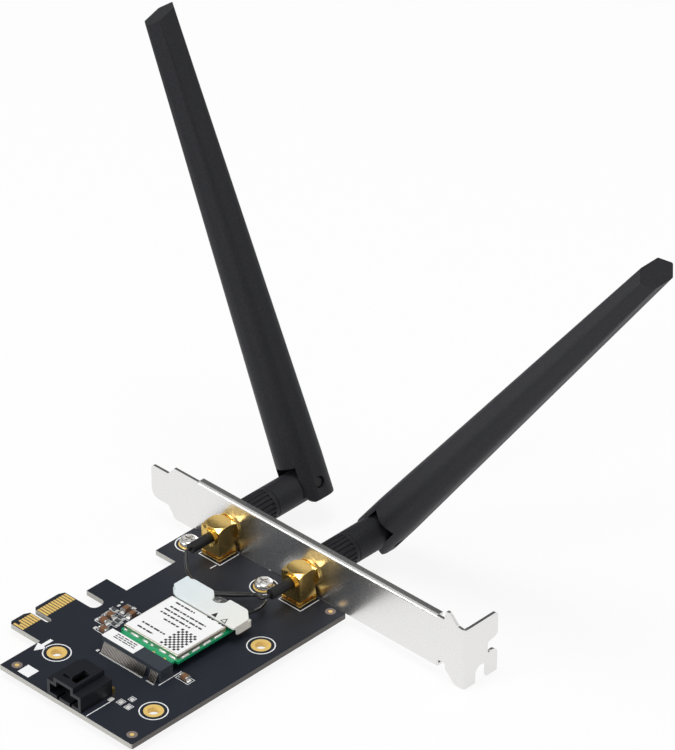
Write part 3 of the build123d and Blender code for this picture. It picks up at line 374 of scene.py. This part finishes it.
def solder_mask():
    """Dark mask on the faces, and bare laminate on the cut edges, with painted shade darkening the edges
    that turn away from +X.
    """
    made = new_material("solder_mask", MASK_COLOUR)
    set_inputs(shader_of(made), Specular_IOR_Level=MASK_SHINE)
    geometry = add_node(made, "ShaderNodeNewGeometry")
    parts = add_node(made, "ShaderNodeSeparateXYZ")
    link(made, geometry.outputs["Normal"], parts.inputs["Vector"])
    upright = maths(made, "ABSOLUTE", parts.outputs["Z"])
    cut_edge = maths(made, "LESS_THAN", upright, CUT_EDGE_SLOPE)
    cloudy = mix_colours(made, noise(made, size=6.0), MASK_DARK, MASK_COLOUR)
    dim = tuple(FIBRE_DIMMING * part for part in LAMINATE_COLOUR)
    pale = mix_colours(made, noise(made, size=0.25, stretch=(1, 1, 4)), dim, LAMINATE_COLOUR)
    # Painted shade: cut edges are darker the less they face +X, over the laminate's fibres
    fibres_and_painted_shade = mix_colours(made, parts.outputs["X"], LAMINATE_PAINTED_SHADE, pale)
    colour_by(made, cut_edge, cloudy, fibres_and_painted_shade)
    vary_roughness(made, noise(made, size=0.8), (0.42, 0.56))
    roughen(made, noise(made, size=0.35), height=0.006)
    return made


def metal(name, colour, roughness, grain, height, stretch=(1, 1, 1)):
    """Metal whose roughness varies between two values over a grain of that size and height."""
    made = new_material(name, colour, roughness[0], metallic=1.0)
    source = noise(made, grain, stretch)
    vary_roughness(made, source, roughness)
    roughen(made, source, height)
    return made


def matte_metal(name, colour, metallic):
    made = metal(name, colour, (0.38, 0.5), grain=0.5, height=0.001)
    set_inputs(shader_of(made), Metallic=metallic)
    return made


def plastic(name, colour, roughness, grain, height, shine=0.5):
    """Plastic with a grain of that size and height, and slightly paler clouds."""
    made = new_material(name, colour, roughness[0])
    set_inputs(shader_of(made), Specular_IOR_Level=shine)
    source = noise(made, grain)
    vary_roughness(made, source, roughness)
    roughen(made, source, height)
    paler = tuple(min(1.0, PALE_SHARE * part) for part in colour)
    colour_by(made, noise(made, CLOUD_SHARE * grain), colour, paler)
    return made


def grained_plastic():
    made = plastic("antenna_plastic", ANTENNA_COLOUR, (0.48, 0.62), grain=0.5, height=0.03, shine=0.2)
    colour_by(made, noise(made, size=0.55, detail=1.0), ANTENNA_COLOUR, ANTENNA_GRAIN)
    return made


def ceramic():
    made = new_material("ceramic", CERAMIC_COLOUR)
    colour_by(made, noise(made, size=0.5), CERAMIC_DARK, CERAMIC_COLOUR)
    vary_roughness(made, noise(made, size=0.2), (0.35, 0.5))
    return made


def milky_film():
    """Film that is cooler towards the fingers and warmer towards the far edge."""
    made = plastic("milky_film", COVER_COOL, (0.28, 0.4), grain=1.2, height=0.01)
    place = add_node(made, "ShaderNodeTexCoord")
    parts = add_node(made, "ShaderNodeSeparateXYZ")
    link(made, place.outputs["Object"], parts.inputs["Vector"])
    low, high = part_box("plug_cover")
    across = map_range(made, parts.outputs["Y"], (low.y, high.y))
    colour_by(made, across, COVER_COOL, COVER_WARM)
    set_inputs(
        shader_of(made),
        Subsurface_Weight=FILM_SCATTER,
        Subsurface_Radius=(FILM_SCATTER_RADIUS * MM,) * 3,
        Transmission_Weight=FILM_CLEARNESS,
    )
    return made


def paper(name, colour):
    made = plastic(name, colour, (0.45, 0.6), grain=0.2, height=0.003)
    colour_by(made, noise(made, size=3.0), tuple(PAPER_SHADE * part for part in colour), colour)
    return made


FINISHES = {
    "board": solder_mask(),
    "gold": metal("gold_plate", GOLD_COLOUR, (0.2, 0.3), grain=0.6, height=0.0015),
    "bracket_metal": metal(
        "satin_nickel", NICKEL_COLOUR, (0.24, 0.32), grain=0.12, height=0.0012, stretch=(1, 0.12, 1)
    ),
    "screw_metal": metal("bright_steel", STEEL_COLOUR, (0.16, 0.26), grain=0.3, height=0.002),
    "pin_metal": metal("blackened_steel", BLACKENED_COLOUR, (0.25, 0.4), grain=0.2, height=0.003),
    "white_plastic": plastic("insulator", INSULATOR_COLOUR, (0.4, 0.5), grain=0.3, height=0.002),
    "sleeve": plastic("shrunk_sleeve", SLEEVE_COLOUR, (0.45, 0.6), grain=0.4, height=0.012, shine=0.35),
    "cable": plastic("cable_jacket", CABLE_COLOUR, (0.32, 0.42), grain=0.3, height=0.004),
    "green_board": plastic("green_mask", GREEN_COLOUR, (0.3, 0.42), grain=0.5, height=0.004),
    "shield_metal": metal("tinned_shield", SHIELD_COLOUR, (0.28, 0.4), grain=0.4, height=0.002),
    "label": paper("label_paper", LABEL_COLOUR),
    "socket_plastic": plastic(
        "socket_plastic", SOCKET_COLOUR, (0.4, 0.52), grain=0.25, height=0.004, shine=0.35
    ),
    "tin": metal("tin_plate", TIN_COLOUR, (0.25, 0.38), grain=0.2, height=0.003),
    "cover_film": milky_film(),
    "header_plastic": plastic(
        "header_plastic", HEADER_COLOUR, (0.36, 0.46), grain=0.2, height=0.003, shine=0.35
    ),
    "capacitor": ceramic(),
    "chip": plastic("chip_glaze", CHIP_COLOUR, (0.3, 0.4), grain=0.2, height=0.002),
    "antenna_plastic": grained_plastic(),
}
INK = paper("white_ink", INK_COLOUR)
PRINT = paper("black_print", PRINT_COLOUR)
BARE = paper("bare_laminate", BARE_COLOUR)
SOLDER = matte_metal("solder", SOLDER_COLOUR, metallic=0.5)
MATTE_GOLD = matte_metal("matte_gold", PAD_GOLD_COLOUR, metallic=0.35)

# Nodes whose finish differs from that of their slot
OWN_FINISHES = {
    "edge_contacts": MATTE_GOLD,
    "hole_plating": MATTE_GOLD,
    "radio_socket_contacts": metal("contact_plate", CONTACT_COLOUR, (0.3, 0.42), grain=0.2, height=0.003),
}


# The solids that show as they are: finish, softened edges and smooth round faces

EDGE_SOFTENING = {
    "bracket": 0.08,
    "usb_header": 0.12,
    "radio_socket": 0.08,
    "radio_shield": 0.06,
    "coax_jack_1": 0.06,
    "coax_jack_2": 0.06,
    "jack_nuts": 0.1,
    "antenna_collar_1": 0.15,
    "antenna_collar_2": 0.15,
    "antenna_paddle_1": 0.25,
    "antenna_paddle_2": 0.25,
    "antenna_nut_1": 0.06,
    "antenna_nut_2": 0.06,
    "capacitor_bodies": 0.08,
    "capacitor_terminals": 0.1,
    "bracket_screws": 0.08,
    "module_screw": 0.08,
}
WELD_DISTANCE = 0.002
SMOOTH_ANGLE = math.radians(32)
FACET_ANGLE = math.radians(20)


def add_bevel(made, width, segments, angle):
    """Round the edges sharper than the angle, by that width in millimetres."""
    bevel = made.modifiers.new("soft_edges", "BEVEL")
    bevel.width = width * MM
    bevel.segments = segments
    bevel.limit_method = "ANGLE"
    bevel.angle_limit = angle
    bevel.use_clamp_overlap = True


def add_crisp_edges(made, softening, angle=SMOOTH_ANGLE):
    """Weld the facets, soften the edges by that many millimetres and keep flat faces flat."""
    weld = made.modifiers.new("weld", "WELD")
    weld.merge_threshold = WELD_DISTANCE * MM
    if softening:
        add_bevel(made, softening, segments=2, angle=angle)
    split = made.modifiers.new("crisp_edges", "EDGE_SPLIT")
    split.split_angle = angle
    made.modifiers.new("face_normals", "WEIGHTED_NORMAL")


def dress_solid(name, slot):
    solid = nodes[name]
    solid.data.materials.clear()
    solid.data.materials.append(OWN_FINISHES.get(name, FINISHES[slot]))
    solid.data.polygons.foreach_set("use_smooth", [True] * len(solid.data.polygons))
    add_crisp_edges(solid, EDGE_SOFTENING.get(name))


for subpart in frame["record"]["subparts"]:
    dress_solid(subpart["node"], subpart["material_slot"])


# Shapes for the small pieces. Their points are millimetres, and a loop goes once round a shape.

def circle(centre, radius, count=48):
    turns = [2 * math.pi * n / count for n in range(count)]
    return [(centre[0] + radius * math.cos(t), centre[1] + radius * math.sin(t)) for t in turns]


def rectangle(centre, size):
    corners = ((-1, -1), (1, -1), (1, 1), (-1, 1))
    return [(centre[0] + x * size[0] / 2, centre[1] + y * size[1] / 2) for x, y in corners]


def rounded_pad(centre, size, count=28):
    """A pad's outline: a rectangle with soft corners, as a superellipse."""
    points = []
    for n in range(count):
        across = math.cos(2 * math.pi * n / count)
        along = math.sin(2 * math.pi * n / count)
        points.append(
            (
                centre[0] + size[0] / 2 * math.copysign(abs(across) ** PAD_POWER, across),
                centre[1] + size[1] / 2 * math.copysign(abs(along) ** PAD_POWER, along),
            )
        )
    return points


def band(start, end, width):
    """Outline of a straight line of that width."""
    run = Vector(end) - Vector(start)
    side = Vector((-run.y, run.x)).normalized() * width / 2
    return [tuple(Vector(p) + s) for p, s in ((start, -side), (end, -side), (end, side), (start, side))]


def softened(corners, radius, steps=5):
    """The outline with each corner rounded by a curve that starts at most that far from it."""
    points = []
    for n, corner in enumerate(corners):
        corner = Vector(corner)
        ends = []
        for other in (corners[n - 1], corners[(n + 1) % len(corners)]):
            run = Vector(other) - corner
            ends.append(corner + run.normalized() * min(radius, CORNER_SHARE * run.length))
        for step in range(steps + 1):
            t = step / steps
            points.append(tuple((1 - t) ** 2 * ends[0] + 2 * t * (1 - t) * corner + t * t * ends[1]))
    return points


def shrunk(outline, share):
    middle = sum((Vector(point) for point in outline), Vector((0, 0))) / len(outline)
    return [tuple(middle + share * (Vector(point) - middle)) for point in outline]


def at_level(outline, level):
    return [(x, y, level) for x, y in outline]


def skin(mesh, loops, wrap=False):
    """Faces between neighbouring loops; wrap joins the last loop to the first, or else both are filled."""
    rows = [[mesh.verts.new([MM * part for part in point]) for point in loop] for loop in loops]
    pairs = list(zip(rows, rows[1:]))
    if wrap:
        pairs.append((rows[-1], rows[0]))
    else:
        mesh.faces.new(list(reversed(rows[0])))
        mesh.faces.new(rows[-1])
    for low, high in pairs:
        for n in range(len(low)):
            after = (n + 1) % len(low)
            mesh.faces.new((low[n], low[after], high[after], high[n]))


def plate(mesh, outline, base, height):
    skin(mesh, [at_level(outline, base), at_level(outline, base + height)])


def border(mesh, inner, outer, base, height):
    """A flat band between two outlines with as many points."""
    top = base + height
    loops = [at_level(inner, base), at_level(outer, base), at_level(outer, top), at_level(inner, top)]
    skin(mesh, loops, wrap=True)


def printed_frame(mesh, centre, size, width, base):
    wide = (size[0] + 2 * width, size[1] + 2 * width)
    border(mesh, rectangle(centre, size), rectangle(centre, wide), base, INK_HEIGHT)


def mound(mesh, centre, size, base, height, steps=4):
    """A pad of solder with a rounded top."""
    loops = []
    for step in range(steps + 1):
        lift = MOUND_ARC * math.pi / 2 * step / steps
        shrink = MOUND_CORE + (1 - MOUND_CORE) * math.cos(lift)
        outline = rounded_pad(centre, (size[0] * shrink, size[1] * shrink))
        loops.append(at_level(outline, base + height * math.sin(lift)))
    skin(mesh, loops)


def solder_run(mesh, start, end, outward, base):
    """A fillet of solder along the foot of a wall, thinning out at both ends."""
    run = Vector(end) - Vector(start)
    taper = run.normalized() * SOLDER_TAPER
    stations = (
        (start, SOLDER_END_SHARE),
        (Vector(start) + taper, 1),
        (Vector(end) - taper, 1),
        (end, SOLDER_END_SHARE),
    )
    loops = []
    for place, share in stations:
        foot = Vector(place)
        tip = foot + Vector(outward) * SOLDER_SPREAD * share
        bulge = foot + Vector(outward) * SOLDER_SPREAD * share * SOLDER_BULGE
        loops.append(
            [
                (*foot, base),
                (*tip, base),
                (*bulge, base + SOLDER_RISE * share * SOLDER_BULGE),
                (*foot, base + SOLDER_RISE * share),
            ]
        )
    skin(mesh, loops)


def add_piece(name, build, finish, smooth=False):
    """A piece that rides on the card, filled by build with its mesh."""
    mesh = bmesh.new()
    build(mesh)
    bmesh.ops.recalc_face_normals(mesh, faces=mesh.faces)
    data = bpy.data.meshes.new(name)
    mesh.to_mesh(data)
    mesh.free()
    data.polygons.foreach_set("use_smooth", [smooth] * len(data.polygons))
    data.materials.append(finish)
    made = bpy.data.objects.new(name, data)
    bpy.context.scene.collection.objects.link(made)
    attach(made, "card")
    return made


# Levels that the small pieces lie on, read from the solids

def top_of(node):
    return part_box(node)[1].z / MM


BOARD_TOP = top_of("circuit_board")
RADIO_TOP = top_of("radio_board")
LABEL_TOP = top_of("radio_label")
SOCKET_LABEL_TOP = top_of("socket_label")
COVER_TOP = top_of("plug_cover")


# Marks printed on the board

def component_frames(mesh):
    across, along = CAPACITOR_SIZE
    spread = 2 * FRAME_GAP
    for place in CROSSWISE_CAPACITORS:
        printed_frame(mesh, place, (across + spread, along + 2 * spread), FINE_LINE, BOARD_TOP)
    for place in LENGTHWISE_CAPACITORS:
        printed_frame(mesh, place, (along + 2 * spread, across + spread), FINE_LINE, BOARD_TOP)
    for place in CHIPS:
        size = (CHIP_SIZE[0] + CHIP_FRAME_SPREAD, CHIP_SIZE[1] + spread)
        printed_frame(mesh, place, size, FINE_LINE, BOARD_TOP)
    for place, size in FRAMED_PADS:
        wide = (size[0] + PAD_FRAME_SPREAD, size[1] + PAD_FRAME_SPREAD)
        printed_frame(mesh, place, wide, FINE_LINE, BOARD_TOP)


def board_marks(mesh):
    for place in PLATED_HOLES + BRACKET_SCREWS:
        border(mesh, circle(place, RING_RADII[0]), circle(place, RING_RADII[1]), BOARD_TOP, INK_HEIGHT)
    plate(mesh, ARROW, BOARD_TOP, INK_HEIGHT)
    plate(mesh, rectangle(*BLANK_FIELD), BOARD_TOP, INK_HEIGHT)
    front, rear = JACK_FRAME_ENDS
    for row in JACK_ROWS:
        middle = row + JACK_FRAME_OFFSET
        low, high = middle - JACK_FRAME_HALF, middle + JACK_FRAME_HALF
        for start, end in (
            ((front, low), (rear, low)),
            ((rear, low - LINE_WIDTH / 2), (rear, high + LINE_WIDTH / 2)),
            ((rear, high), (front, high)),
        ):
            plate(mesh, band(start, end, LINE_WIDTH), BOARD_TOP, INK_HEIGHT)
    for start, end in (JACK_DASH, HEADER_LINE, SOCKET_LINE):
        plate(mesh, band(start, end, LINE_WIDTH), BOARD_TOP, INK_HEIGHT)
    component_frames(mesh)


add_piece("board_marks", board_marks, INK)


# Bare solder and gold on the board

def solder_pads(mesh):
    for place, size in FRAMED_PADS + PLAIN_PADS:
        mound(mesh, place, size, BOARD_TOP, PAD_HEIGHT)
    width = CAPACITOR_SIZE[0]
    reach = CAPACITOR_SIZE[1] / 2 + CAPACITOR_PAD_OFFSET
    for x, y in CROSSWISE_CAPACITORS:
        for end in (-reach, reach):
            mound(mesh, (x, y + end), (width, CAPACITOR_PAD_LENGTH), BOARD_TOP, CAPACITOR_PAD_RISE)
    for x, y in LENGTHWISE_CAPACITORS:
        for end in (-reach, reach):
            mound(mesh, (x + end, y), (CAPACITOR_PAD_LENGTH, width), BOARD_TOP, CAPACITOR_PAD_RISE)
    for x, y in CHIPS:
        for end in (-CHIP_SIZE[1] / 2, CHIP_SIZE[1] / 2):
            size = (CHIP_SIZE[0] + CHIP_PAD_MARGIN, CHIP_PAD_LENGTH)
            mound(mesh, (x, y + end), size, BOARD_TOP, CHIP_PAD_RISE)


def contact_feet(mesh):
    low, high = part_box("radio_socket_contacts")
    place = low.y / MM + FOOT_HALF_WIDTH
    while place < high.y / MM:
        if not FOOT_GAP[0] < place < FOOT_GAP[1]:
            mound(mesh, (FOOT_X, place), FOOT_SIZE, BOARD_TOP, PAD_HEIGHT)
        place += FOOT_PITCH


def screw_lands(mesh):
    low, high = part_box("screw_pads")
    for place in BRACKET_SCREWS:
        inner = circle(place, SCREW_LAND_RADII[0])
        outer = circle(place, SCREW_LAND_RADII[1])
        border(mesh, inner, outer, high.z / MM - SCREW_LAND_HEIGHT, SCREW_LAND_HEIGHT)
        border(mesh, inner, outer, low.z / MM, SCREW_LAND_HEIGHT)


def fiducial_fields(mesh):
    for place in FIDUCIALS:
        border(mesh, circle(place, FIDUCIAL_DOT), circle(place, FIDUCIAL_FIELD), BOARD_TOP, PRINT_HEIGHT)


def fiducial_dots(mesh):
    for place in FIDUCIALS:
        plate(mesh, circle(place, FIDUCIAL_DOT), BOARD_TOP, INK_HEIGHT)


add_piece("solder_pads", solder_pads, SOLDER, smooth=True)
add_piece("contact_feet", contact_feet, SOLDER, smooth=True)
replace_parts(add_piece("screw_lands", screw_lands, MATTE_GOLD), "screw_pads")
add_piece("fiducial_fields", fiducial_fields, BARE)
add_piece("fiducial_dots", fiducial_dots, MATTE_GOLD)


# Solder and vias on the radio module

def shield_solder(mesh):
    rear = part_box("radio_shield")[1].x / MM
    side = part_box("radio_shield")[1].y / MM
    for start, end in SHIELD_SIDE_RUNS:
        solder_run(mesh, (start, side), (end, side), (0, 1), RADIO_TOP)
    for start, end in SHIELD_END_RUNS:
        solder_run(mesh, (rear, start), (rear, end), (1, 0), RADIO_TOP)


def radio_vias(mesh):
    for place in VIAS:
        border(mesh, circle(place, VIA_RADII[0]), circle(place, VIA_RADII[1]), RADIO_TOP, VIA_HEIGHT)


add_piece("shield_solder", shield_solder, SOLDER, smooth=True)
add_piece("radio_vias", radio_vias, MATTE_GOLD)


# Plain bars, a checked field and triangles where the labels carry print

def printed_row(mesh, row, start, end, width, base, first_word):
    """A row of short bars of varied length."""
    place = start
    word = first_word
    while place < end:
        stop = min(place + WORD_LENGTHS[word % len(WORD_LENGTHS)], end)
        plate(mesh, band((row, place), (row, stop), width), base, PRINT_HEIGHT)
        place = stop + WORD_GAP
        word += 1


def label_print(mesh):
    for first_word, (row, start, end) in enumerate(LABEL_ROWS):
        printed_row(mesh, row, start, end, LABEL_ROW_WIDTH, LABEL_TOP, first_word)
    for first_word, (row, start, end) in enumerate(SOCKET_ROWS):
        printed_row(mesh, row, start, end, SOCKET_ROW_WIDTH, SOCKET_LABEL_TOP, first_word)
    (middle_x, middle_y), size = CHECKED_FIELD
    cell = (size[0] / CHECKED_CELLS[0], size[1] / CHECKED_CELLS[1])
    for across in range(CHECKED_CELLS[0]):
        for along in range(CHECKED_CELLS[1]):
            if (across + along) % 2 == 0:
                centre = (
                    middle_x + (across + 0.5) * cell[0] - size[0] / 2,
                    middle_y + (along + 0.5) * cell[1] - size[1] / 2,
                )
                plate(mesh, rectangle(centre, cell), LABEL_TOP, PRINT_HEIGHT)
    full, hollow = COVER_TRIANGLES
    plate(mesh, full, COVER_TOP, PRINT_HEIGHT)
    border(mesh, shrunk(hollow, HOLLOW_SHARE), hollow, COVER_TOP, PRINT_HEIGHT)


add_piece("label_print", label_print, PRINT)


# Cover over the plugs, which the photograph shows with a shallow notch at the module's screw

def shaped_cover(mesh):
    base = COVER_TOP - COVER_THICKNESS
    plate(mesh, softened(COVER_OUTLINE, COVER_CORNER), base, COVER_THICKNESS)
    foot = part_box("plug_cover")[0].z / MM
    for centre, size in COVER_WALLS:
        plate(mesh, rounded_pad(centre, size), foot, base - foot)


cover = add_piece("shaped_cover", shaped_cover, FINISHES["cover_film"], smooth=True)
add_bevel(cover, COVER_EDGE, segments=3, angle=SMOOTH_ANGLE)
cover.modifiers.new("face_normals", "WEIGHTED_NORMAL")
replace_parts(cover, "plug_cover")


# Jacks with the slim flange that the photograph shows

def slim_jack(node, row):
    """The jack's solid with the rim of its flange drawn in."""

    def build(mesh):
        mesh.from_mesh(nodes[node].data)
        for vertex in mesh.verts:
            across = vertex.co.y / MM - row
            up = vertex.co.z / MM - JACK_AXIS_Z
            reach = math.hypot(across, up)
            beside = vertex.co.x < FLANGE_FRONT_X * MM and vertex.co.z > FLANGE_LOWEST_Z * MM
            if beside and reach > FLANGE_LIMIT:
                share = (reach - FLANGE_TRIM) / reach
                vertex.co.y = (row + across * share) * MM
                vertex.co.z = (JACK_AXIS_Z + up * share) * MM

    jack = add_piece(node + "_slim", build, FINISHES["gold"], smooth=True)
    add_crisp_edges(jack, EDGE_SOFTENING[node], FACET_ANGLE)
    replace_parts(jack, node)


for number, row in enumerate(JACK_ROWS, start=1):
    slim_jack(f"coax_jack_{number}", row)


# Stage, light and camera

def floor_and_backdrop():
    """A floor that takes the shadow, and is otherwise white to the camera and in reflections."""
    made = new_material("floor", FLOOR_COLOUR, FLOOR_ROUGHNESS)
    rays = add_node(made, "ShaderNodeLightPath")
    direct = maths(made, "MAXIMUM", rays.outputs["Is Camera Ray"], rays.outputs["Is Glossy Ray"])
    white = add_node(made, "ShaderNodeEmission", Color=(1, 1, 1, 1), Strength=1.0)
    blend = add_node(made, "ShaderNodeMixShader")
    link(made, maths(made, "MULTIPLY", direct, FLOOR_WHITENESS), blend.inputs["Fac"])
    link(made, shader_of(made).outputs["BSDF"], blend.inputs[1])
    link(made, white.outputs["Emission"], blend.inputs[2])
    link(made, blend.outputs["Shader"], made.node_tree.nodes["Material Output"].inputs["Surface"])
    lowest = cad_box[0].z
    bpy.ops.mesh.primitive_circle_add(
        vertices=64, radius=FLOOR_RADIUS, fill_type="NGON", location=(0, 0, lowest)
    )
    floor = bpy.context.object
    floor.name = "floor"
    floor.data.materials.append(made)


def surroundings():
    """White to the camera, and to the rest a pale studio that is dark where level faces mirror it."""
    world = bpy.data.worlds.new("studio")
    world.use_nodes = True
    bpy.context.scene.world = world
    place = add_node(world, "ShaderNodeTexCoord").outputs["Generated"]
    parts = add_node(world, "ShaderNodeSeparateXYZ")
    link(world, place, parts.inputs["Vector"])
    sky = map_range(world, parts.outputs["Z"], SKY_HEIGHTS, SKY_LEVELS)
    nearness = add_node(world, "ShaderNodeVectorMath")
    nearness.operation = "DOT_PRODUCT"
    nearness.inputs[1].default_value = DARK_DIRECTION
    link(world, place, nearness.inputs[0])
    dark = map_range(world, nearness.outputs["Value"], DARK_SPREAD, (1.0, DARK_LEVEL))
    rays = add_node(world, "ShaderNodeLightPath")
    level = add_node(world, "ShaderNodeMix", B=1.0)
    link(world, rays.outputs["Is Camera Ray"], level.inputs["Factor"])
    link(world, maths(world, "MULTIPLY", sky, dark), level.inputs["A"])
    background = world.node_tree.nodes["Background"]
    set_inputs(background, Color=(1, 1, 1, 1))
    link(world, level.outputs["Result"], background.inputs["Strength"])


def softbox(name, place, size, power, target):
    lamp = bpy.data.lights.new(name, "AREA")
    lamp.shape = "RECTANGLE"
    lamp.size, lamp.size_y = size
    lamp.energy = power
    held = bpy.data.objects.new(name, lamp)
    bpy.context.scene.collection.objects.link(held)
    held.location = place
    held.rotation_euler = (Vector(target) - Vector(place)).to_track_quat("-Z", "Y").to_euler()


def lights():
    middle = (cad_box[0] + cad_box[1]) / 2
    for name, place, size, power in LAMPS:
        softbox(name, place, size, power, middle)


def camera():
    view = bpy.data.cameras.new("camera")
    view.sensor_width = CAMERA_SENSOR
    view.lens = CAMERA_LENS
    view.clip_start, view.clip_end = CAMERA_CLIP
    held = bpy.data.objects.new("camera", view)
    bpy.context.scene.collection.objects.link(held)
    held.location = Vector(CAMERA_PLACE) * MM
    level = Vector(CAMERA_DIRECTION).to_track_quat("-Z", "Y")
    held.rotation_euler = (level @ Quaternion((0, 0, 1), CAMERA_ROLL)).to_euler()
    bpy.context.scene.camera = held


floor_and_backdrop()
surroundings()
lights()
camera()
bpy.context.scene.view_settings.view_transform = "Standard"
